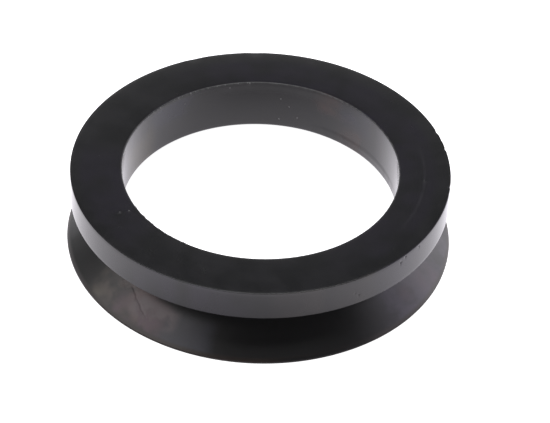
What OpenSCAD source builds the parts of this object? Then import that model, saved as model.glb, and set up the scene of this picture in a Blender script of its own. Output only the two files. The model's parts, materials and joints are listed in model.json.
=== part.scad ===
// V-ring: an axial shaft seal, moulded in rubber as one piece.
// The body is stretched onto a shaft and turns with it. Its thin conical lip runs
// on a flat face that stands square to the shaft, and the V groove behind the lip
// lets it bend. The ring lies on its lip, with the back of the body on top.
// Z is the shaft axis, and z = 0 is the plane that the lip touches.

/* [Body] */
// Diameter of the bore before the ring is stretched
bore_d = 22; // [16:0.5:38]
// Length of the bore along the shaft
bore_len = 4.4; // [4:0.1:5.6]
// Height of the body from the bore to the outer band
body_h = 4.1; // [3.6:0.1:6]
// Width of the plain band around the outside of the body
band_w = 2.5; // [1.6:0.1:3.2]

/* [Lip] */
// Width of the whole ring with its lip relaxed
ring_w = 7; // [6.6:0.1:9]
// How far the lip's edge stands out past the band
lip_proud = 0.3; // [0:0.05:0.8]
// Thickness of the lip where it bends
hinge_t = 0.8; // [0.5:0.05:1.1]
// Thickness of the lip at its rounded edge
lip_edge_t = 0.3; // [0.2:0.02:0.4]

/* [Groove] */
// Height of the rubber between the bore and the bottom of the groove
groove_floor_h = 1.2; // [0.8:0.1:1.6]
// Radius in the bottom of the groove
groove_r = 0.35; // [0.1:0.05:0.5]

/* [Edges] */
// Radius on the edge between the bore and the back
bore_edge_r = 0.1; // [0.05:0.05:0.5]
// Radius on the edge between the back and the band
back_edge_r = 0.06; // [0.04:0.02:0.5]
// Radius on the edge between the band and the groove
band_edge_r = 0.08; // [0.04:0.02:0.4]
// Radius where the bore runs out into the face of the lip
mouth_r = 0.3; // [0.1:0.1:1.2]

/* [Hidden] */
$fn = 180;
rubber_colour = [0.1, 0.1, 0.11];

// How far an arc crosses the sides that it joins, so that they meet in a clean point
crossing = 0.001;
// How far a cut reaches past the section's outline, as a share of its size
overshoot = 0.1;

bore_r = bore_d / 2;
band_r = bore_r + body_h;

// The section's corners before they are rounded, as [radius, height]
bore_mouth = [bore_r, ring_w - bore_len];
bore_back = [bore_r, ring_w];
band_back = [band_r, ring_w];
band_foot = [band_r, ring_w - band_w];

// Centre of the lip's round edge, which touches the plane z = 0
lip_edge_r = lip_edge_t / 2;
lip_edge = [band_r + lip_proud - lip_edge_r, lip_edge_r];
lip_side = lip_edge_r - crossing;

// The lip's face runs from the bore's mouth and passes under the round edge
face_angle = passing_angle(bore_mouth, lip_edge, -lip_side);
face_normal = turned(face_angle + 90);

// The groove's bottom lies one hinge thickness behind the lip's face
groove_rise = (hinge_t - groove_floor_h * face_normal.x) / face_normal.y;
groove_bottom = bore_mouth + [groove_floor_h, groove_rise];

// The lip's back runs from the groove's bottom and passes over the round edge
back_angle = passing_angle(groove_bottom, lip_edge, lip_side);

// The lip's face and back would meet in a point past the round edge
lip_taper = (face_angle - back_angle) / 2;
lip_point = lip_edge + lip_side / sin(lip_taper) * turned((face_angle + back_angle) / 2);

// Unit vector at an angle from the radial direction
function turned(angle) = [cos(angle), sin(angle)];

// Unit vector from one point towards another
function towards(from, to) = (to - from) / norm(to - from);

// Angle of the line from a point that passes a centre at a distance, above it where that is positive
function passing_angle(from, centre, distance) =
    let (way = centre - from)
    atan2(way.y, way.x) + asin(distance / norm(way));

// Points moved away from a centre by the overshoot
function spread(points, centre) = [for (p = points) centre + (1 + overshoot) * (p - centre)];

// What lies between a corner and the arc of radius r that rounds it
module corner_piece(before, corner, after, r) {
    to_before = towards(corner, before);
    to_after = towards(corner, after);
    half_angle = acos(to_before * to_after) / 2;
    arc_side = r - crossing;
    arc_centre = corner + arc_side / sin(half_angle) * towards([0, 0], to_before + to_after);
    touch = arc_side / tan(half_angle);
    kite = [corner + touch * to_before, corner, corner + touch * to_after, arc_centre];
    difference() {
        polygon(spread(kite, arc_centre));
        translate(arc_centre) circle(r);
    }
}

// The V between body and lip, with its bottom filled to a radius
module groove() {
    difference() {
        polygon(spread([band_foot, groove_bottom, lip_point], groove_bottom));
        corner_piece(band_foot, groove_bottom, lip_point, groove_r);
    }
}

// The moulded section: the groove and every outer corner are cut from one plain outline
module section() {
    difference() {
        polygon([bore_mouth, bore_back, band_back, band_foot, lip_point]);
        groove();
        corner_piece(lip_point, bore_mouth, bore_back, mouth_r);
        corner_piece(bore_mouth, bore_back, band_back, bore_edge_r);
        corner_piece(bore_back, band_back, band_foot, back_edge_r);
        corner_piece(band_back, band_foot, groove_bottom, band_edge_r);
        corner_piece(groove_bottom, lip_point, bore_mouth, lip_edge_r);
    }
}

module v_ring() {
    color(rubber_colour) rotate_extrude() section();
}

v_ring();
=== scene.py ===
# %% [markdown]
# A v-ring is a rubber seal for a turning shaft. Its flat-backed body is stretched over the shaft and
# grips it, and a thin conical lip, set off from the body by a V groove, runs on a flat face beside the
# shaft. The imported solid gives the sizes, so it is loaded first and its box is kept: the ring that is
# modelled here is sized to stay inside that box.

# %% Load the imported ring
import json
import math
import random
from collections import namedtuple

import bmesh
import bpy
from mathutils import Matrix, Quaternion, Vector
from mathutils.kdtree import KDTree


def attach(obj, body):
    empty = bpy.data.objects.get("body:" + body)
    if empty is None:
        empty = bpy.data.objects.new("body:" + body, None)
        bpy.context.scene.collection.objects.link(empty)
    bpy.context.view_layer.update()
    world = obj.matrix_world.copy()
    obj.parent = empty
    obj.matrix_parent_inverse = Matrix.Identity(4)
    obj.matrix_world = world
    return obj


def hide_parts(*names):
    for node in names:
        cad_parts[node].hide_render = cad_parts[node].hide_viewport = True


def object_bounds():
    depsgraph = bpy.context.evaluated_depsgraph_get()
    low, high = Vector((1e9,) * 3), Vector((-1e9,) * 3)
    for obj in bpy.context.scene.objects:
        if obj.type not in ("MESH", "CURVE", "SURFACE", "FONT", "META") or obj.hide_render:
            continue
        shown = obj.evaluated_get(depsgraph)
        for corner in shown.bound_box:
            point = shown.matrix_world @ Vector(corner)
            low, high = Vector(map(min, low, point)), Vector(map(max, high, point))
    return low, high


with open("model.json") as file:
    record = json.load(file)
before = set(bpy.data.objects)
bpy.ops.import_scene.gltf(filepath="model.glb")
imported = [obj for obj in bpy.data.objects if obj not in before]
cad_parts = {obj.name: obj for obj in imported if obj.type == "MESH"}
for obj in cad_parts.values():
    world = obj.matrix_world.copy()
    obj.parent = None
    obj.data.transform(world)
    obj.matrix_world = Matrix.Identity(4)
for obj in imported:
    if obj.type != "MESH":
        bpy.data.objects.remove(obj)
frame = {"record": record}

cad_low, cad_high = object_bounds()
print("packed box in metres:", list(cad_low), list(cad_high))

# %% [markdown]
# The camera stands where the photograph was taken from: about 40 degrees above the floor, a quarter of a
# metre away, and rolled a little. Its long lens keeps the ring's two ellipses nearly alike in shape. It
# looks past the ring's middle by two small offsets, so the frame needs no lens shift.

# %% Camera
IMAGE_W = 550
FOCAL_PX = 3143.5
SENSOR_MM = 36.0
CAMERA_DISTANCE = 0.25369
CAMERA_ELEVATION = math.radians(40.478)
CAMERA_ROLL = math.radians(2.33)
AIM_RIGHT = 0.001283
AIM_UP = 0.001909
CLIP_NEAR = 0.01
CLIP_FAR = 20

camera_back = Vector((0, -math.cos(CAMERA_ELEVATION), math.sin(CAMERA_ELEVATION)))
camera_up = Vector((0, math.sin(CAMERA_ELEVATION), math.cos(CAMERA_ELEVATION)))
camera_place = camera_back * CAMERA_DISTANCE
camera_aim = Vector((AIM_RIGHT, 0, 0)) + camera_up * AIM_UP

bpy.ops.object.select_all(action="DESELECT")
bpy.ops.object.camera_add(location=camera_place)
camera = bpy.context.object
camera.name = "photo_camera"
camera.rotation_mode = "QUATERNION"
look = (camera_aim - camera_place).to_track_quat("-Z", "Y")
camera.rotation_quaternion = look @ Quaternion((0, 0, 1), CAMERA_ROLL)
camera.data.sensor_width = SENSOR_MM
camera.data.sensor_fit = "HORIZONTAL"
camera.data.lens = FOCAL_PX * SENSOR_MM / IMAGE_W
camera.data.clip_start = CLIP_NEAR
camera.data.clip_end = CLIP_FAR
bpy.context.scene.camera = camera
print("camera lens in mm:", round(camera.data.lens, 1))

# %% [markdown]
# Black rubber has almost no colour of its own, so what the eye reads is what it reflects. The ring lies
# on a white sweep: the upright band and bore mirror the floor and come out grey, brighter where they are
# seen at a glancing angle. The flat back mirrors the far side of the room, which is dark above the sweep.
# One plane is enough for the floor, because its edges are far outside the picture.

# %% Floor plane
FLOOR_SIZE = 6.0

bpy.ops.object.select_all(action="DESELECT")
bpy.ops.mesh.primitive_plane_add(size=FLOOR_SIZE, location=(0, 0, cad_low.z))
floor = bpy.context.object
floor.name = "studio_floor"
print("floor at height", round(floor.location.z, 5))

# %% [markdown]
# A material is a tree of nodes. Small helpers make a node and set its inputs, so that each material reads
# as a list of its steps. The floor starts as matt paint, which takes the ring's shadow.

# %% Paint of the floor
FLOOR_PAINT = (0.90, 0.875, 0.92)


def add_node(tree, kind, **settings):
    made = tree.nodes.new(kind)
    for name, value in settings.items():
        setattr(made, name, value)
    return made


def fill(node, **values):
    """Sets inputs by name, with an underscore for each space."""
    for name, value in values.items():
        node.inputs[name.replace("_", " ")].default_value = value
    return node


def new_material(name):
    material = bpy.data.materials.new(name)
    material.use_nodes = True
    material.node_tree.nodes.clear()
    return material, material.node_tree


floor_material, tree = new_material("white_sweep")
floor_paint = fill(add_node(tree, "ShaderNodeBsdfDiffuse"), Color=FLOOR_PAINT + (1,))
floor.data.materials.append(floor_material)
print("floor paint:", FLOOR_PAINT)

# %% [markdown]
# A white background comes from a glow in the floor, not from more light on the ring. The glow knows
# nothing of shadows, so mirror rays see it dimmed in a soft spot inside the ring and before it, where the
# ring itself shades the floor. The bore and the front of the band would look milky without that spot.

# %% Dim spot in the mirrored floor
DIM_SPOT = (-0.0006, -0.0085, 0.0)
DIM_RADII = (0.0095, 0.0183)
DIM_LEVEL = 0.10


def feed(tree, socket, value):
    """Links another socket, or sets a plain number."""
    if isinstance(value, (int, float)):
        socket.default_value = value
    else:
        tree.links.new(value, socket)


def calc(tree, operation, first, second):
    node = add_node(tree, "ShaderNodeMath", operation=operation)
    feed(tree, node.inputs[0], first)
    feed(tree, node.inputs[1], second)
    return node.outputs[0]


def rise(tree, value, start, end, low=0.0, high=1.0):
    """Low until the value reaches start, high from end on, and smooth between them."""
    node = add_node(tree, "ShaderNodeMapRange", interpolation_type="SMOOTHSTEP")
    fill(node, From_Min=start, From_Max=end, To_Min=low, To_Max=high)
    tree.links.new(value, node.inputs["Value"])
    return node.outputs["Result"]


floor_place = add_node(tree, "ShaderNodeTexCoord").outputs["Object"]
from_spot = add_node(tree, "ShaderNodeVectorMath", operation="DISTANCE")
from_spot.inputs[1].default_value = DIM_SPOT
tree.links.new(floor_place, from_spot.inputs[0])
mirrored_floor = rise(tree, from_spot.outputs["Value"], *DIM_RADII, low=DIM_LEVEL)
print("mirrored floor at the middle of its spot:", DIM_LEVEL)

# %% [markdown]
# Only rays that show the floor see its glow: from the camera, through glass, or off a mirror. The camera
# sees it pure white, and mirrors see it with the faint violet that the photograph has in its reflections.
# The floor isn't sampled as a lamp. It is large, so rays find it anyway, and the picture has less noise.

# %% Glow of the floor
FLOOR_TINT = (0.965, 0.94, 1.0)
PURE_WHITE = (1.0, 1.0, 1.0)


def blend_colour(tree, factor, first, second):
    """Mixes two colours, each a linked socket or a plain colour."""
    node = add_node(tree, "ShaderNodeMix", data_type="RGBA")
    tree.links.new(factor, node.inputs["Factor"])
    for name, colour in (("A", first), ("B", second)):
        socket = next(s for s in node.inputs if s.name == name and s.type == "RGBA")
        if isinstance(colour, tuple):
            socket.default_value = colour + (1,)
        else:
            tree.links.new(colour, socket)
    return next(s for s in node.outputs if s.type == "RGBA")


def seen_directly(tree, mirrored=1.0):
    """1 for a camera or glass ray, the mirrored value for a mirror ray, and 0 for rays that only light."""
    path = add_node(tree, "ShaderNodeLightPath")
    in_mirror = calc(tree, "MULTIPLY", path.outputs["Is Glossy Ray"], mirrored)
    straight = calc(tree, "MAXIMUM", path.outputs["Is Camera Ray"], path.outputs["Is Transmission Ray"])
    return calc(tree, "MAXIMUM", straight, in_mirror)


camera_ray = add_node(tree, "ShaderNodeLightPath").outputs["Is Camera Ray"]
floor_glow = add_node(tree, "ShaderNodeEmission")
tree.links.new(blend_colour(tree, camera_ray, FLOOR_TINT, PURE_WHITE), floor_glow.inputs["Color"])
tree.links.new(seen_directly(tree, mirrored_floor), floor_glow.inputs["Strength"])
floor_sum = add_node(tree, "ShaderNodeAddShader")
floor_out = add_node(tree, "ShaderNodeOutputMaterial")
tree.links.new(floor_paint.outputs[0], floor_sum.inputs[0])
tree.links.new(floor_glow.outputs[0], floor_sum.inputs[1])
tree.links.new(floor_sum.outputs[0], floor_out.inputs["Surface"])
floor_material.cycles.emission_sampling = "NONE"
print("floor nodes:", len(tree.nodes))

# %% [markdown]
# The room above the floor is white at the horizon, grey over the sweep and dark overhead. A colour ramp
# holds that fall-off. It is read by the height of the ray's direction, which is the sine of its
# elevation.

# %% Fall-off of the room
# Each stop is an elevation in degrees and the level there
ROOM_STOPS = ((0, 1.0), (5, 1.0), (12, 0.32), (24, 0.32), (35, 0.48), (42, 0.08))

world = bpy.data.worlds.new("studio")
bpy.context.scene.world = world
world.use_nodes = True
tree = world.node_tree
tree.nodes.clear()
ray_way = add_node(tree, "ShaderNodeTexCoord")
ray_parts = add_node(tree, "ShaderNodeSeparateXYZ")
fall_off = add_node(tree, "ShaderNodeValToRGB")
tree.links.new(ray_way.outputs["Generated"], ray_parts.inputs[0])
tree.links.new(ray_parts.outputs["Z"], fall_off.inputs["Fac"])
for spare in list(fall_off.color_ramp.elements)[1:]:
    fall_off.color_ramp.elements.remove(spare)
for number, (elevation, level) in enumerate(ROOM_STOPS):
    share = math.sin(math.radians(elevation))
    stop = fall_off.color_ramp.elements[0] if number == 0 else fall_off.color_ramp.elements.new(share)
    stop.position = share
    stop.color = (level, level, level, 1)
print("room levels by elevation:", ROOM_STOPS)

# %% [markdown]
# Only rays that show the room see its fall-off. For the light that it sheds, the room is an even dim
# grey, and like the floor it isn't sampled as a lamp.

# %% Light of the room
ROOM_FILL = 0.12

room_level = add_node(tree, "ShaderNodeMix", data_type="FLOAT")
room_level.inputs["A"].default_value = ROOM_FILL
tree.links.new(seen_directly(tree), room_level.inputs["Factor"])
tree.links.new(fall_off.outputs["Color"], room_level.inputs["B"])
room = add_node(tree, "ShaderNodeBackground")
room_out = add_node(tree, "ShaderNodeOutputWorld")
tree.links.new(room_level.outputs["Result"], room.inputs["Strength"])
tree.links.new(room.outputs[0], room_out.inputs["Surface"])
world.cycles.sampling_method = "NONE"
bpy.context.scene.view_settings.view_transform = "Standard"
print("room fill:", ROOM_FILL)

# %% [markdown]
# Five soft boxes light the ring: a large one overhead, one at the left, two at the right, of which the
# higher is dim, and a faint strip behind. The side boxes are what the lip's sloping flank mirrors, so
# they make its grey patches at the left and right, and the front of the lip between them stays nearly
# black. The strip gives the far part of the flat back its sheen.

# %% Soft boxes
WATTS_PER_RADIANCE = 4.0
# Name, azimuth and elevation in degrees, distance, width and height in metres, radiance and colour
SOFT_BOXES = [
    ("overhead_box", 90, 83, 0.8, 0.62, 0.62, 2.7, PURE_WHITE),
    ("left_box", 194, 40, 0.6, 0.62, 0.38, 1.25, (1.0, 0.96, 0.96)),
    ("right_box", 32, 14, 0.6, 0.4, 0.28, 1.55, (1.0, 0.97, 1.02)),
    ("right_fill_box", 8, 30, 0.6, 0.42, 0.27, 0.85, (1.0, 0.95, 1.08)),
    ("back_strip", 98, 26, 0.8, 0.4, 0.11, 0.60, PURE_WHITE),
]


def soft_box(name, azimuth, elevation, distance, width, height, radiance, colour):
    """A rectangular lamp that faces the ring from that direction, with about that radiance."""
    turn = math.radians(azimuth)
    tilt = math.radians(elevation)
    way = Vector((math.cos(turn) * math.cos(tilt), math.sin(turn) * math.cos(tilt), math.sin(tilt)))
    bpy.ops.object.light_add(type="AREA", location=way * distance)
    lamp = bpy.context.object
    lamp.name = name
    lamp.rotation_mode = "QUATERNION"
    lamp.rotation_quaternion = (-way).to_track_quat("-Z", "Y")
    lamp.data.shape = "RECTANGLE"
    lamp.data.size = width
    lamp.data.size_y = height
    lamp.data.energy = radiance * width * height * WATTS_PER_RADIANCE
    lamp.data.color = colour
    lamp.visible_camera = False
    print(name, "watts", round(lamp.data.energy, 2))


for box in SOFT_BOXES:
    soft_box(*box)

# %% [markdown]
# The ring is moulded, and its whole form is one section turned round the shaft. The section is drawn like
# a lathe template, in millimetres: the bore, the back, the band, the groove's sloping flank, and the lip,
# which tapers to a thin rounded edge. The bore's size comes from the ring's own mount and the reach from
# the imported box. Rubber shrinks as it cools, which leaves the back a few hundredths lower towards its
# edges.

# %% Sizes of the section, in millimetres
MM = 0.001
BOX_MARGIN = 0.004
mounts = {mount["name"]: mount for mount in frame["record"]["mounts"]}
bore_r = mounts["shaft_bore"]["dims"]["r_mm"]
ring_w = cad_high.z / MM
lip_reach = cad_high.x / MM - BOX_MARGIN
body_h = 4.1
bore_len = 4.4
band_w = 2.5
hinge_t = 0.8
lip_edge_t = 0.3
groove_floor_h = 1.2
groove_r = 0.35
bore_edge_r = 0.06
back_edge_r = 0.05
band_edge_r = 0.08
mouth_r = 0.3
crown_reach = 0.9
bore_drop = 0.025
band_drop = 0.04
crown_r = 27.0

band_r = bore_r + body_h
lip_edge_r = lip_edge_t / 2
print("bore radius", bore_r, "band radius", band_r)
print("lip reach", round(lip_reach, 3), "width", round(ring_w, 3))

# %% [markdown]
# The lip lies between two lines that touch its round edge. One starts at the bore's mouth and one at the
# bottom of the groove. Its corners are worked out from those lines, so the taper follows when a size
# changes.

# %% Corners of the section
def pointing(angle):
    return Vector((math.cos(angle), math.sin(angle)))


def passing_angle(start, centre, clearance):
    """Direction of the line from start that passes centre at that distance, above it if positive."""
    apart = centre - start
    return math.atan2(apart.y, apart.x) + math.asin(clearance / apart.length)


bore_mouth = Vector((bore_r, ring_w - bore_len))
bore_back = Vector((bore_r, ring_w - bore_drop))
crown_inner = Vector((bore_r + crown_reach, ring_w))
crown_outer = Vector((band_r - crown_reach, ring_w))
band_back = Vector((band_r, ring_w - band_drop))
band_foot = Vector((band_r, ring_w - band_w))
lip_centre = Vector((lip_reach - lip_edge_r, lip_edge_r + BOX_MARGIN))

face_angle = passing_angle(bore_mouth, lip_centre, -lip_edge_r)
face_normal = pointing(face_angle + math.pi / 2)
groove_rise = (hinge_t - groove_floor_h * face_normal.x) / face_normal.y
groove_bottom = bore_mouth + Vector((groove_floor_h, groove_rise))
flank_angle = passing_angle(groove_bottom, lip_centre, lip_edge_r)
flank_normal = pointing(flank_angle + math.pi / 2)
print("bore's mouth", bore_mouth, "groove bottom", groove_bottom)

# %% Corners of the lip's edge
lip_way = pointing((face_angle + flank_angle) / 2)


def lip_corner(side_normal, side_angle, side):
    """Where one side of the lip meets the square end that its round edge is cut from."""
    touch = side_normal * side * lip_edge_r
    along = (lip_edge_r - touch.dot(lip_way)) / pointing(side_angle).dot(lip_way)
    return lip_centre + touch + pointing(side_angle) * along


lip_top = lip_corner(flank_normal, flank_angle, 1)
lip_foot = lip_corner(face_normal, face_angle, -1)
print("lip end", lip_top, lip_foot)

# %% [markdown]
# By hand the outline would be drawn by extruding one vertex from corner to corner and filled to a face.
# The same is done here: a plane merged to its middle gives that first vertex.

# %% Draw the outline
def section_point(corner):
    return Vector((corner.x, 0, corner.y))


def draw_outline(name, outline):
    bpy.ops.object.select_all(action="DESELECT")
    bpy.ops.mesh.primitive_plane_add(size=1, location=(0, 0, 0))
    piece = bpy.context.object
    piece.name = name
    piece.data.name = name
    bpy.ops.object.mode_set(mode="EDIT")
    bpy.ops.mesh.select_all(action="SELECT")
    bpy.ops.mesh.merge(type="CENTER")
    bpy.ops.transform.translate(value=section_point(outline[0]))
    for here, there in zip(outline, outline[1:]):
        step = section_point(there) - section_point(here)
        bpy.ops.mesh.extrude_region_move(TRANSFORM_OT_translate={"value": step})
    bpy.ops.mesh.select_all(action="SELECT")
    bpy.ops.mesh.edge_face_add()
    return piece


outline = [bore_mouth, bore_back, crown_inner, crown_outer, band_back, band_foot,
           groove_bottom, lip_top, lip_foot]
ring = draw_outline("v_ring_rubber", outline)
print("corners drawn:", len(bmesh.from_edit_mesh(ring.data).verts))

# %% [markdown]
# Each corner is rounded with a vertex bevel. A bevel is given by how far it reaches along the sides, so
# the reach is worked out from the radius and the corner's angle. Selection is by place: a helper walks
# the edit mesh and picks what passes a test. The face only served the bevels, and is deleted afterwards.

# %% Round the corners
SAME_PLACE = 1e-4
ROUND_PROFILE = 0.5
LIP_ROUND_SHARE = 0.96


def choose(piece, wanted, kind="verts"):
    """Selects just the vertices, edges or faces that pass the test, and counts them."""
    mesh = bmesh.from_edit_mesh(piece.data)
    bpy.ops.mesh.select_all(action="DESELECT")
    chosen = [element for element in getattr(mesh, kind) if wanted(element)]
    for element in chosen:
        element.select_set(True)
    bmesh.update_edit_mesh(piece.data)
    return len(chosen)


def round_corner(piece, outline, number, radius, segments):
    corner = outline[number]
    before = (outline[number - 1] - corner).normalized()
    after = (outline[(number + 1) % len(outline)] - corner).normalized()
    reach = radius / math.tan(before.angle(after) / 2)
    choose(piece, lambda vertex: (vertex.co - section_point(corner)).length < SAME_PLACE)
    bpy.ops.mesh.bevel(affect="VERTICES", offset_type="OFFSET", offset=reach, segments=segments,
                       profile=ROUND_PROFILE, clamp_overlap=False)


# Radius and segments of each corner, in the outline's order
lip_round = (lip_edge_r * LIP_ROUND_SHARE, 5)
rounds = [(mouth_r, 6), (bore_edge_r, 5), (crown_r, 6), (crown_r, 6), (back_edge_r, 4), (band_edge_r, 4),
          (groove_r, 8), lip_round, lip_round]
for number, (radius, segments) in enumerate(rounds):
    round_corner(ring, outline, number, radius, segments)
bpy.ops.mesh.select_all(action="SELECT")
bpy.ops.mesh.delete(type="ONLY_FACE")
print("outline vertices after rounding:", len(bmesh.from_edit_mesh(ring.data).verts))

# %% [markdown]
# The stretches that show get cuts of their own, so that small nicks and pits can be pressed into them
# later. The groove's roof and the lip's underside stay plain.

# %% Cut the stretches that show
CUT_STEP = 0.3
MOST_CUTS = 24
FLANK_SLACK = 0.05


def shows(edge):
    middle = (edge.verts[0].co + edge.verts[1].co) / 2
    from_flank = (Vector((middle.x, middle.z)) - groove_bottom).dot(flank_normal)
    in_bore = middle.x < bore_r + mouth_r
    return in_bore or middle.z > band_foot.y or abs(from_flank) < FLANK_SLACK


bpy.ops.mesh.select_mode(type="EDGE")
for cuts in range(1, MOST_CUTS):
    shortest = (cuts + 0.5) * CUT_STEP
    longest = (cuts + 1.5) * CUT_STEP
    if choose(ring, lambda edge: shows(edge) and shortest < edge.calc_length() <= longest, "edges"):
        bpy.ops.mesh.subdivide(number_cuts=cuts)
bpy.ops.mesh.select_mode(type="VERT")
print("outline vertices after cuts:", len(bmesh.from_edit_mesh(ring.data).verts))

# %% [markdown]
# The template is then turned once round the shaft. Spin in edit mode would do it, but is slow over
# hundreds of steps, so the Screw modifier does it in one go. Six hundred steps make a facet of 0.16
# millimetres on the band, too small to see. The seam where the turn meets itself is merged.

# %% Turn the section round the shaft
TURN_STEPS = 600
MERGE_DISTANCE = 0.0005

bpy.ops.object.mode_set(mode="OBJECT")
turn = ring.modifiers.new("turn", "SCREW")
turn.axis = "Z"
turn.angle = 2 * math.pi
turn.steps = TURN_STEPS
turn.render_steps = TURN_STEPS
turn.use_merge_vertices = True
turn.merge_threshold = MERGE_DISTANCE
bpy.ops.object.modifier_apply(modifier=turn.name)

bpy.ops.object.mode_set(mode="EDIT")
bpy.ops.mesh.select_mode(type="VERT")
bpy.ops.mesh.select_all(action="SELECT")
bpy.ops.mesh.remove_doubles(threshold=MERGE_DISTANCE)
bpy.ops.mesh.normals_make_consistent(inside=False)
turned_mesh = bmesh.from_edit_mesh(ring.data)
open_edges = sum(1 for edge in turned_mesh.edges if not edge.is_manifold)
print("faces:", len(turned_mesh.faces), "open edges:", open_edges)
print("volume in cubic millimetres:", round(turned_mesh.calc_volume(), 1))

# %% [markdown]
# A moulded ring is trimmed by hand, and that shows. The outer back edge has nicks at the right and rear,
# and air has left a few pits in the band and the back. Each such mark is a place on the surface, a push,
# and how far round it the push reaches, all in millimetres.

# %% Nicks and pits
EDGE_DROP = 0.03
NICK_SLOPE = 0.6
BAND_PIT_REACH = 0.14
BACK_PIT_REACH = 0.13
Mark = namedtuple("Mark", "place push reach")


def ring_place(azimuth, radius, height):
    turn = math.radians(azimuth)
    return Vector((radius * math.cos(turn), radius * math.sin(turn), height))


def away(azimuth, outward, upward):
    """A push at that azimuth, outward from the shaft and upward."""
    return ring_place(azimuth, outward, upward)


# Azimuth, depth and reach
edge_nicks = [(21, 0.05, 0.4), (17, 0.02, 0.3), (12.5, 0.05, 0.3), (-5.5, 0.06, 0.35), (-9, 0.02, 0.3),
              (93, 0.02, 0.9), (112.5, 0.02, 0.9)]
# Azimuth, height and depth
band_pits = [(-43.0, 6.44, 0.09), (-41.0, 6.8, 0.07), (-58.6, 5.29, 0.08), (-34.5, 6.72, 0.05),
             (-60.0, 5.6, 0.04)]
# Azimuth, radius and depth
back_pits = [(-150.5, 12.41, 0.04), (-149.6, 11.75, 0.06), (-4.0, 12.9, 0.03)]

outer_edge = (band_r - EDGE_DROP, band_back.y - EDGE_DROP)
marks = []
for azimuth, depth, reach in edge_nicks:
    push = away(azimuth, -depth, -NICK_SLOPE * depth)
    marks.append(Mark(ring_place(azimuth, *outer_edge), push, reach))
for azimuth, height, depth in band_pits:
    marks.append(Mark(ring_place(azimuth, band_r, height), away(azimuth, -depth, 0), BAND_PIT_REACH))
for azimuth, radius, depth in back_pits:
    marks.append(Mark(ring_place(azimuth, radius, ring_w), away(azimuth, 0, -depth), BACK_PIT_REACH))
print("nicks and pits:", len(marks))

# %% [markdown]
# Flash is the thin skin of rubber that is squeezed out where parts of a mould meet. It was torn off the
# bore's edge. Seven nibs of it still stand into the bore, a row of finer ones shows only as pale specks,
# and at the left front the edge is slightly ragged. A seeded random spreads the small ones, so that every
# run makes the same ring.

# %% Flash on the bore's edge
NIB_HEIGHT = 0.03
NIB_REACH = 0.12
FINE_NIBS = 16
FINE_START = 98
FINE_SPACING = 4.5
FINE_SPREAD = 2.0
RAGGED_BITS = 16
RAGGED_START = -153
RAGGED_SPACING = 2.1
RAGGED_SPREAD = 0.6
RAGGED_LOW = -0.04
RAGGED_HIGH = 0.02
RAGGED_REACH = 0.3
TRIM_SEED = 4

bore_edge = (bore_r + EDGE_DROP, bore_back.y - EDGE_DROP)
flash_azimuths = (-178.3, 171.9, 155.6, 138.9, 128.7, 122.5, 96)
for azimuth in flash_azimuths:
    marks.append(Mark(ring_place(azimuth, *bore_edge), away(azimuth, -NIB_HEIGHT, 0), NIB_REACH))

trim = random.Random(TRIM_SEED)
fine_azimuths = []
for step in range(FINE_NIBS):
    fine_azimuths.append(FINE_START + FINE_SPACING * step + trim.uniform(-FINE_SPREAD, FINE_SPREAD))
for step in range(RAGGED_BITS):
    azimuth = RAGGED_START + RAGGED_SPACING * step + trim.uniform(-RAGGED_SPREAD, RAGGED_SPREAD)
    push = away(azimuth, trim.uniform(RAGGED_LOW, RAGGED_HIGH), 0)
    marks.append(Mark(ring_place(azimuth, *bore_edge), push, RAGGED_REACH))
print("marks with the flash:", len(marks))

# %% [markdown]
# Two creases cross the lip at the left front. A crease is a row of shallow marks along a line on the
# lip's flank, deepest in the middle, so that it runs out at both ends.

# %% Creases in the lip
CREASE_REACH = 0.13
CREASE_EASE = 0.15


def crease(start, end, depth, steps):
    """Marks along a line on the flank, from one azimuth and radius to another."""
    for step in range(steps + 1):
        share = step / steps
        azimuth, radius = (first + (last - first) * share for first, last in zip(start, end))
        height = groove_bottom.y + (radius - groove_bottom.x) * math.tan(flank_angle)
        fade = math.sin(math.pi * (CREASE_EASE + (1 - 2 * CREASE_EASE) * share))
        push = -flank_normal * depth * fade
        marks.append(Mark(ring_place(azimuth, radius, height), away(azimuth, push.x, push.y), CREASE_REACH))


crease(start=(-136.8, 13.2), end=(-126.0, 14.4), depth=0.036, steps=18)
crease(start=(-141.6, 13.3), end=(-138.1, 13.65), depth=0.02, steps=5)
print("marks with the creases:", len(marks))

# %% [markdown]
# A mark needs enough vertices to show its shape, so the faces round every mark are first cut finer, all
# in one go. A tree of places finds the nearest mark to a face quickly.

# %% Cut the faces round the marks finer
MARK_SURROUND = 1.3
MARK_CUTS = 3


def refine(piece, marks):
    """Cuts the faces round every mark finer, in one pass."""
    finder = KDTree(len(marks))
    for number, mark in enumerate(marks):
        finder.insert(mark.place, number)
    finder.balance()

    def near(face):
        place, number, distance = finder.find(face.calc_center_median())
        return distance < MARK_SURROUND * marks[number].reach

    bpy.ops.mesh.select_mode(type="FACE")
    found = choose(piece, near, "faces")
    bpy.ops.mesh.subdivide(number_cuts=MARK_CUTS, ngon=False)
    return found


print("faces cut finer:", refine(ring, marks))

# %% [markdown]
# Each mark is then pressed in like a thumb into clay: the nearest vertex is moved, and its neighbours
# follow with a soft fall-off, which is proportional editing.

# %% Press the marks in
def press(piece, finder, mark):
    mesh = bmesh.from_edit_mesh(piece.data)
    bpy.ops.mesh.select_all(action="DESELECT")
    mesh.verts.ensure_lookup_table()
    mesh.verts[finder.find(mark.place)[1]].select_set(True)
    bmesh.update_edit_mesh(piece.data)
    bpy.ops.transform.translate(value=mark.push, use_proportional_edit=True, proportional_size=mark.reach,
                                proportional_edit_falloff="SMOOTH")


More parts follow.
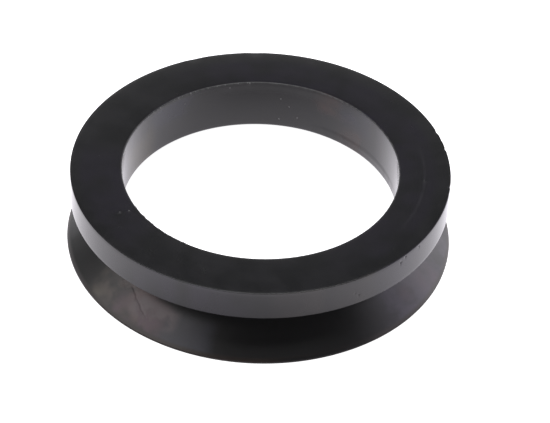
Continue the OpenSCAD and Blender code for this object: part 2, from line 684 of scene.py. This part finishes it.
bpy.ops.mesh.select_mode(type="VERT")
fine_mesh = bmesh.from_edit_mesh(ring.data)
vertex_finder = KDTree(len(fine_mesh.verts))
for number, vertex in enumerate(fine_mesh.verts):
    vertex_finder.insert(vertex.co, number)
vertex_finder.balance()
for mark in marks:
    press(ring, vertex_finder, mark)
print("marks pressed in:", len(marks))

# %% [markdown]
# The mould's core meets its plate just above the mouth of the bore. Where they fitted least well, at the
# right, the wall below stands a few hundredths of a millimetre proud, and the ledge above it shows as a
# dark line. The wall is cut finer there and the rows at the mouth are raised along their normals, in four
# passes that each take in a little less of the turn, so that the ledge fades out at both ends.

# %% Ledge near the mouth of the bore
LEDGE_TOP = 3.66
LEDGE_REACH = 0.3
LEDGE_RISE = 0.04
LEDGE_PASSES = 4
LEDGE_START = 10
LEDGE_END = 68
LEDGE_FADE = 5
LEDGE_CUT_FROM = 2.9
LEDGE_CUTS = 2
WALL_SLACK = 0.1


def on_right_wall(place, trimmed, low, high):
    """Whether a place is on the bore's wall at the right, that many degrees inside the ledge's ends."""
    azimuth = math.degrees(math.atan2(place.y, place.x))
    in_bore = abs(math.hypot(place.x, place.y) - bore_r) < WALL_SLACK
    in_turn = LEDGE_START + trimmed < azimuth < LEDGE_END - trimmed
    return in_bore and in_turn and low < place.z < high


def in_cut_rows(face):
    return on_right_wall(face.calc_center_median(), 0, LEDGE_CUT_FROM, LEDGE_TOP + CUT_STEP)


bpy.ops.mesh.select_mode(type="FACE")
choose(ring, in_cut_rows, "faces")
bpy.ops.mesh.subdivide(number_cuts=LEDGE_CUTS, ngon=False)
bpy.ops.mesh.select_mode(type="VERT")
top_row = LEDGE_TOP - LEDGE_REACH
for step in range(LEDGE_PASSES):
    trimmed = step * LEDGE_FADE
    found = choose(ring, lambda vertex: on_right_wall(vertex.co, trimmed, bore_mouth.y, top_row))
    bpy.ops.transform.shrink_fatten(value=LEDGE_RISE / LEDGE_PASSES, use_proportional_edit=True,
                                    proportional_size=LEDGE_REACH, proportional_edit_falloff="LINEAR")
    print("vertices raised:", found)

# %% [markdown]
# The ring was modelled in millimetres, because Blender's operators work best with numbers near one, and
# it is now brought to metres. Shading is smooth across the rounds, and weighted normals keep the flats
# flat. The finished ring rides on the part's one body, and the imported node it replaces is hidden.

# %% Bring the ring to metres
SMOOTH_ANGLE = 40

bpy.ops.mesh.select_all(action="SELECT")
bpy.ops.transform.resize(value=(MM, MM, MM), center_override=(0, 0, 0))
bpy.ops.object.mode_set(mode="OBJECT")
bpy.ops.object.select_all(action="DESELECT")
ring.select_set(True)
bpy.context.view_layer.objects.active = ring
bpy.ops.object.shade_smooth_by_angle(angle=math.radians(SMOOTH_ANGLE))
keep_flats = ring.modifiers.new("keep_flats", "WEIGHTED_NORMAL")
keep_flats.mode = "FACE_AREA"
bpy.ops.object.modifier_apply(modifier=keep_flats.name)
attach(ring, "root")
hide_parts("v_ring")
print("ring triangles:", sum(len(face.vertices) - 2 for face in ring.data.polygons))

# %% [markdown]
# The rubber is filled with carbon black: nearly no colour, and a satin skin from the mould. What varies
# on it follows the ring's own form, so the material reads Object coordinates: the height above the floor,
# the radius, and the direction round the ring.

# %% Rubber: place on the ring
RUBBER_IOR = 1.5

rubber, tree = new_material("black_rubber")
skin = fill(add_node(tree, "ShaderNodeBsdfPrincipled"), IOR=RUBBER_IOR)
skin_out = add_node(tree, "ShaderNodeOutputMaterial")
tree.links.new(skin.outputs[0], skin_out.inputs["Surface"])
ring.data.materials.clear()
ring.data.materials.append(rubber)

place = add_node(tree, "ShaderNodeTexCoord").outputs["Object"]
place_parts = add_node(tree, "ShaderNodeSeparateXYZ")
tree.links.new(place, place_parts.inputs[0])
place_height = place_parts.outputs["Z"]
flat_place = add_node(tree, "ShaderNodeCombineXYZ")
tree.links.new(place_parts.outputs["X"], flat_place.inputs["X"])
tree.links.new(place_parts.outputs["Y"], flat_place.inputs["Y"])
flat_length = add_node(tree, "ShaderNodeVectorMath", operation="LENGTH")
tree.links.new(flat_place.outputs[0], flat_length.inputs[0])
place_radius = flat_length.outputs["Value"]
print("nodes for the place:", len(tree.nodes))

# %% [markdown]
# A mask is 1 where a finish applies, 0 where it doesn't, and soft between. Helpers make masks from
# heights and radii in millimetres and from directions in degrees. The four surfaces that differ in finish
# are the flat back, the lip, the bore and the band, and each has its mask.

# %% Rubber: masks
def above(low, high):
    return rise(tree, place_height, low * MM, high * MM)


def below(low, high):
    return rise(tree, place_height, low * MM, high * MM, 1, 0)


def outside(inner, outer):
    return rise(tree, place_radius, inner * MM, outer * MM)


def inside(inner, outer):
    return rise(tree, place_radius, inner * MM, outer * MM, 1, 0)


def facing(azimuth, near, far):
    """1 within near degrees of that direction round the ring, and 0 past far degrees."""
    turn = math.radians(azimuth)
    dot = add_node(tree, "ShaderNodeVectorMath", operation="DOT_PRODUCT")
    tree.links.new(flat_place.outputs[0], dot.inputs[0])
    dot.inputs[1].default_value = (math.cos(turn), math.sin(turn), 0)
    share = calc(tree, "DIVIDE", dot.outputs["Value"], place_radius)
    return rise(tree, share, math.cos(math.radians(far)), math.cos(math.radians(near)))


def where(*masks):
    """1 only where every mask is 1."""
    joined = masks[0]
    for mask in masks[1:]:
        joined = calc(tree, "MULTIPLY", joined, mask)
    return joined


# Millimetres between which each surface's mask changes
BACK_DEPTHS = (0.15, 0.07)
LIP_RADII = (12.3, 12.8)
LIP_HEIGHTS = (2.4, 3.0)
BORE_DEPTHS = (0.02, 0.2)
BAND_DEPTHS = (0.1, 0.02)
BAND_HEIGHTS = (4.2, 4.5)

back = above(*(ring_w - depth for depth in BACK_DEPTHS))
lip = where(outside(*LIP_RADII), below(*LIP_HEIGHTS))
bore = inside(*(bore_r + depth for depth in BORE_DEPTHS))
band = where(outside(*(band_r - depth for depth in BAND_DEPTHS)), above(*BAND_HEIGHTS))
print("nodes with the masks:", len(tree.nodes))

# %% [markdown]
# Over time some of what is mixed into rubber rises to its surface as a thin film, the bloom, which shows
# as brown, pink and violet clouds on the lip and faintly elsewhere. On the lip, where its flank mirrors the
# side soft boxes, the clouds are also a painted reflection of them. Noise textures break the film up.
# Their scale counts features in a metre, so 400 makes clouds of some two millimetres. The streaks are
# noise drawn out upwards.

# %% Rubber: clouds
STREAK_STRETCH = (1, 1, 0.1)


def noise(tree, place, scale, detail, roughness=0.5, distortion=0.0):
    node = add_node(tree, "ShaderNodeTexNoise")
    fill(node, Scale=scale, Detail=detail, Roughness=roughness, Distortion=distortion)
    tree.links.new(place, node.inputs["Vector"])
    return node.outputs["Fac"]


cloudy = noise(tree, place, scale=420, detail=3, distortion=0.3)
blotchy = noise(tree, place, scale=700, detail=2, distortion=0.3)
soft = noise(tree, place, scale=330, detail=1, distortion=0.2)
patchy = noise(tree, place, scale=900, detail=3, distortion=0.6)
broad = noise(tree, place, scale=150, detail=2, distortion=0.5)
flecked = noise(tree, place, scale=2600, detail=2)
upright = fill(add_node(tree, "ShaderNodeMapping"), Scale=STREAK_STRETCH)
tree.links.new(place, upright.inputs["Vector"])
streaky = noise(tree, upright.outputs[0], scale=1300, detail=3, roughness=0.6)
print("nodes with the clouds:", len(tree.nodes))

# %% [markdown]
# The colour is built up like coats of paint: a black that varies in depth, then one layer after another,
# each a mask and a colour. The back has a violet haze at the right and left and one grey streak, and the
# band has faint violet and brown patches.

# %% Rubber: colour of the back and the band
CARBON_BLACK = (0.0052, 0.0053, 0.0066)
GREYED_BLACK = (0.0106, 0.0104, 0.0125)
VIOLET_HAZE = (0.0098, 0.0082, 0.0145)
STREAK_GREY = (0.0190, 0.0180, 0.0230)
BAND_VIOLET = (0.0190, 0.0170, 0.0270)
BAND_BROWN = (0.0230, 0.0195, 0.0180)


def lay(colour, layers):
    """Lays each colour, by its mask, over what is there already."""
    for mask, layer_colour in layers:
        colour = blend_colour(tree, mask, colour, layer_colour)
    return colour


colour = blend_colour(tree, rise(tree, cloudy, 0.35, 0.7), CARBON_BLACK, GREYED_BLACK)
body_layers = [
    (where(back, facing(30, 65, 105), inside(13.5, 14.4), rise(tree, cloudy, 0.2, 0.7)), VIOLET_HAZE),
    (where(back, facing(-162, 12, 32), inside(13.9, 14.7), rise(tree, cloudy, 0.25, 0.6)), VIOLET_HAZE),
    (where(back, facing(-10, 16, 28), outside(12.85, 12.98), inside(13.06, 13.2),
           rise(tree, cloudy, 0.25, 0.65)), STREAK_GREY),
    (where(band, facing(-121, 4, 9), rise(tree, soft, 0.25, 0.65)), BAND_VIOLET),
    (where(band, facing(-101, 6, 11), rise(tree, soft, 0.25, 0.65)), BAND_VIOLET),
    (where(band, facing(-30, 14, 34), rise(tree, broad, 0.3, 0.6)), BAND_VIOLET),
    (where(band, facing(-77, 4, 10), rise(tree, soft, 0.2, 0.7)), BAND_BROWN),
    (where(band, facing(-60, 3, 9), rise(tree, soft, 0.2, 0.7)), BAND_BROWN),
]
colour = lay(colour, body_layers)
print("layers on the back and the band:", len(body_layers))

# %% [markdown]
# The lip has most of the bloom: tan, olive, pink, pale and rose clouds at the left front, a slate patch
# beside them, and smoke with a touch of rose at the right. These patches are partly bloom and partly a
# painted reflection of the side soft boxes, laid just where the flank mirrors them. A painted sheen
# lightens the far left end. Its rim is brown, grey at the left end and black in front.

# %% Rubber: colour of the lip
LIP_BLACK = (0.0100, 0.0098, 0.0106)
# From here to the smoke, each lip colour is partly bloom and partly a painted reflection of a soft box.
SLATE_BLOOM_AND_PAINTED_REFLECTION = (0.040, 0.041, 0.053)
TAN_BLOOM_AND_PAINTED_REFLECTION = (0.080, 0.064, 0.057)
PINK_BLOOM_AND_PAINTED_REFLECTION = (0.138, 0.094, 0.093)
PALE_BLOOM_AND_PAINTED_REFLECTION = (0.142, 0.116, 0.124)
OLIVE_BLOOM_AND_PAINTED_REFLECTION = (0.084, 0.074, 0.060)
ROSE_BLOOM_AND_PAINTED_REFLECTION = (0.098, 0.062, 0.084)
SMOKE_BLOOM_AND_PAINTED_REFLECTION = (0.062, 0.054, 0.078)
# A painted sheen, where the lip's far end and the bore's upper wall catch more light.
PAINTED_SHEEN_GREY = (0.032, 0.032, 0.034)
RIM_BROWN = (0.024, 0.018, 0.016)
RIM_GREY = (0.052, 0.049, 0.051)
RIM_RADII = (15.05, 15.3)

rim = where(lip, outside(*RIM_RADII))
lip_layers = [
    (lip, LIP_BLACK),
    # Painted reflection of the left soft box, partly bloom: the slate, tan, pink, pale, olive and rose
    # clouds.
    (where(lip, facing(-112, 5, 11), outside(12.9, 13.9), rise(tree, soft, 0.15, 0.5)), SLATE_BLOOM_AND_PAINTED_REFLECTION),
    (where(lip, facing(-140, 6, 12), outside(12.4, 13.5), inside(14.3, 15.6),
           rise(tree, cloudy, 0.30, 0.60)), TAN_BLOOM_AND_PAINTED_REFLECTION),
    (where(lip, facing(-132, 6, 14), outside(12.4, 13.5), inside(14.3, 15.6),
           rise(tree, cloudy, 0.36, 0.62)), PINK_BLOOM_AND_PAINTED_REFLECTION),
    (where(lip, facing(-125, 5, 11), outside(12.9, 13.6), inside(14.2, 14.9),
           rise(tree, blotchy, 0.32, 0.58)), PALE_BLOOM_AND_PAINTED_REFLECTION),
    (where(lip, facing(-144, 3, 9), outside(12.8, 13.6), rise(tree, blotchy, 0.45, 0.90)), OLIVE_BLOOM_AND_PAINTED_REFLECTION),
    (where(lip, facing(-129, 4, 12), outside(13.2, 14.4),
           rise(tree, blotchy, 0.25, 0.65, 1, 0)), ROSE_BLOOM_AND_PAINTED_REFLECTION),
    # Painted reflection of the right soft boxes, partly bloom: the smoke and a touch of rose.
    (where(lip, facing(-16, 24, 33), rise(tree, cloudy, 0.36, 0.62, 0.3, 1.0)), SMOKE_BLOOM_AND_PAINTED_REFLECTION),
    (where(lip, facing(-27, 4, 11), outside(13.2, 14.2), rise(tree, soft, 0.30, 0.60)), ROSE_BLOOM_AND_PAINTED_REFLECTION),
    # Painted sheen at the lip's far left end.
    (where(lip, facing(-178, 3, 7), outside(14.0, 14.8)), PAINTED_SHEEN_GREY),
    (rim, RIM_BROWN),
    (where(rim, facing(-166, 8, 18)), RIM_GREY),
    (where(rim, facing(-68, 9, 20)), LIP_BLACK),
]
colour = lay(colour, lip_layers)
print("layers on the lip:", len(lip_layers))

# %% [markdown]
# The bore has red, blue and warm clouds, and a painted sheen makes it greyer high up. Its edge is torn and
# pale: flecks of torn flash over a painted highlight of its rounding.

# %% Rubber: colour of the bore
RED_BLOOM = (0.054, 0.029, 0.025)
BORE_BLUE = (0.019, 0.021, 0.044)
WARM_BLOOM = (0.064, 0.050, 0.024)
# Pale grey of torn flash, and also a painted highlight of the edge's rounding.
FLASH_AND_HIGHLIGHT_GREY = (0.075, 0.075, 0.078)
FLASH_AND_HIGHLIGHT_DEPTHS = (0.2, 0.12)
FLASH_AND_HIGHLIGHT_WIDTHS = (0.04, 0.14)

flash_and_highlight_height = above(*(ring_w - depth for depth in FLASH_AND_HIGHLIGHT_DEPTHS))
flash_and_highlight_edge = where(flash_and_highlight_height, inside(*(bore_r + width for width in FLASH_AND_HIGHLIGHT_WIDTHS)))
bore_layers = [
    (where(bore, facing(58, 4, 12), above(4.6, 5.6), rise(tree, cloudy, 0.35, 0.65)), RED_BLOOM),
    (where(bore, facing(48, 3, 10), below(4.2, 5.4), rise(tree, cloudy, 0.42, 0.80)), RED_BLOOM),
    (where(bore, facing(46, 4, 11), above(4.2, 5.4), rise(tree, soft, 0.2, 0.6)), BORE_BLUE),
    (where(bore, facing(133, 5, 14), above(4.4, 5.4), rise(tree, soft, 0.2, 0.6)), BORE_BLUE),
    (where(bore, facing(154, 7, 14), below(4.6, 6.0), rise(tree, soft, 0.1, 0.6)), WARM_BLOOM),
    # Painted sheen on the bore's upper wall, up to its rounded edge.
    (where(bore, facing(87, 14, 28), above(5.8, 6.5)), PAINTED_SHEEN_GREY),
    (where(bore, facing(132, 32, 52), above(6.55, 6.8)), PAINTED_SHEEN_GREY),
    # Flecks of torn flash over a continuous painted highlight along the bore's edge.
    (where(flash_and_highlight_edge, rise(tree, flecked, 0.3, 0.75, 0.35, 1.0)), FLASH_AND_HIGHLIGHT_GREY),
]
colour = lay(colour, bore_layers)
print("layers on the bore:", len(bore_layers))

# %% [markdown]
# Last come the pale specks: the nibs of flash on the bore's edge, and a few grains of dust on its wall.
# Each is a small ball round its place, which colours the surface where it cuts it.

# %% Rubber: specks
SPECK_GREY = (0.160, 0.160, 0.165)
SPECK_CORE = 0.3
NIB_SPECK = 0.10
FINE_SPECK = 0.07
DUST_SPECK = 0.11


def specks(spots, reach):
    """1 at each spot on the bore's wall, given by azimuth and height, fading to 0 at that reach."""
    mask = 0.0
    for azimuth, height in spots:
        apart = add_node(tree, "ShaderNodeVectorMath", operation="DISTANCE")
        tree.links.new(place, apart.inputs[0])
        apart.inputs[1].default_value = ring_place(azimuth, bore_r, height) * MM
        spot = rise(tree, apart.outputs["Value"], SPECK_CORE * reach * MM, reach * MM, 1, 0)
        mask = calc(tree, "MAXIMUM", spot, mask)
    return mask


flash_nibs = [(azimuth, bore_edge[1]) for azimuth in flash_azimuths]
fine_nibs = [(azimuth, bore_edge[1]) for azimuth in fine_azimuths]
dust = [(104.5, 6.58), (82.4, 5.43), (78.7, 4.72), (82.9, 3.32), (75, 3.72), (125.3, 6.06)]
speck_layers = [
    (specks(flash_nibs, NIB_SPECK), SPECK_GREY),
    (specks(fine_nibs, FINE_SPECK), SPECK_GREY),
    (specks(dust, DUST_SPECK), SPECK_GREY),
]
colour = lay(colour, speck_layers)
tree.links.new(colour, skin.inputs["Base Color"])
print("nodes with the colour:", len(tree.nodes))

# %% [markdown]
# The band and the bore were moulded against polished steel and mirror almost clearly. The back and the
# lip are satin. One patchy noise varies the gloss of all of them a little, because an even gloss looks
# like plastic.

# %% Rubber: gloss
CLEAR_ROUGHNESS = 0.07
PATCH_ROUGHNESS = 0.06
BACK_ROUGHNESS = 0.16
LIP_ROUGHNESS = 0.205


def scaled(value, factor, base):
    """The value times the factor, plus the base."""
    node = add_node(tree, "ShaderNodeMath", operation="MULTIPLY_ADD")
    for socket, number in zip(node.inputs, (value, factor, base)):
        feed(tree, socket, number)
    return node.outputs[0]


gloss = scaled(patchy, PATCH_ROUGHNESS, CLEAR_ROUGHNESS)
gloss = scaled(back, BACK_ROUGHNESS, gloss)
gloss = scaled(lip, LIP_ROUGHNESS, gloss)
tree.links.new(gloss, skin.inputs["Roughness"])
print("least roughness of the bore, back and lip:", CLEAR_ROUGHNESS,
      CLEAR_ROUGHNESS + BACK_ROUGHNESS, CLEAR_ROUGHNESS + LIP_ROUGHNESS)

# %% [markdown]
# The bore shines most at its left and right ends and on the strip below the ledge. A thin clear coat
# there adds a second reflection. Its weight may come from nodes, while its other values stay plain.

# %% Rubber: polished parts of the bore
POLISH = 0.2
STRIP_HEIGHTS = (3.4, 3.6)

ends = calc(tree, "MAXIMUM", facing(172, 8, 28), facing(10, 8, 24))
below_ledge = where(facing(32, 8, 13), below(*STRIP_HEIGHTS))
polished = where(bore, calc(tree, "MAXIMUM", ends, below_ledge))
tree.links.new(calc(tree, "MULTIPLY", polished, POLISH), skin.inputs["Coat Weight"])
print("coat weight where polished:", POLISH)

# %% [markdown]
# Three faint reliefs bend the reflections: a fine grain, strongest on the back, upright streaks from the
# mould on the band and the bore, and slow waves, strongest on the thin lip. The deepest is about two
# hundredths of a millimetre. They are too fine for the mesh, so they are bump.

# %% Rubber: grain, streaks and waves
MICRON = 1e-6
GRAIN_DEPTH = 0.08 * MICRON
BACK_GRAIN_ADDED = 0.6 * MICRON
STREAK_DEPTH = 1.6 * MICRON
LIP_STREAK_ADDED = -1.5 * MICRON
WAVE_DEPTH = 3 * MICRON
LIP_WAVE_ADDED = 20 * MICRON

grain = noise(tree, place, scale=9000, detail=3, roughness=0.6)
waves = noise(tree, place, scale=280, detail=0)
grain_relief = calc(tree, "MULTIPLY", grain, scaled(back, BACK_GRAIN_ADDED, GRAIN_DEPTH))
wave_relief = calc(tree, "MULTIPLY", waves, scaled(lip, LIP_WAVE_ADDED, WAVE_DEPTH))
streak_relief = calc(tree, "MULTIPLY", streaky, scaled(lip, LIP_STREAK_ADDED, STREAK_DEPTH))
relief = calc(tree, "ADD", calc(tree, "ADD", grain_relief, wave_relief), streak_relief)
bump = fill(add_node(tree, "ShaderNodeBump"), Strength=1.0, Distance=1.0)
tree.links.new(relief, bump.inputs["Height"])
tree.links.new(bump.outputs["Normal"], skin.inputs["Normal"])
print("rubber nodes:", len(tree.nodes))
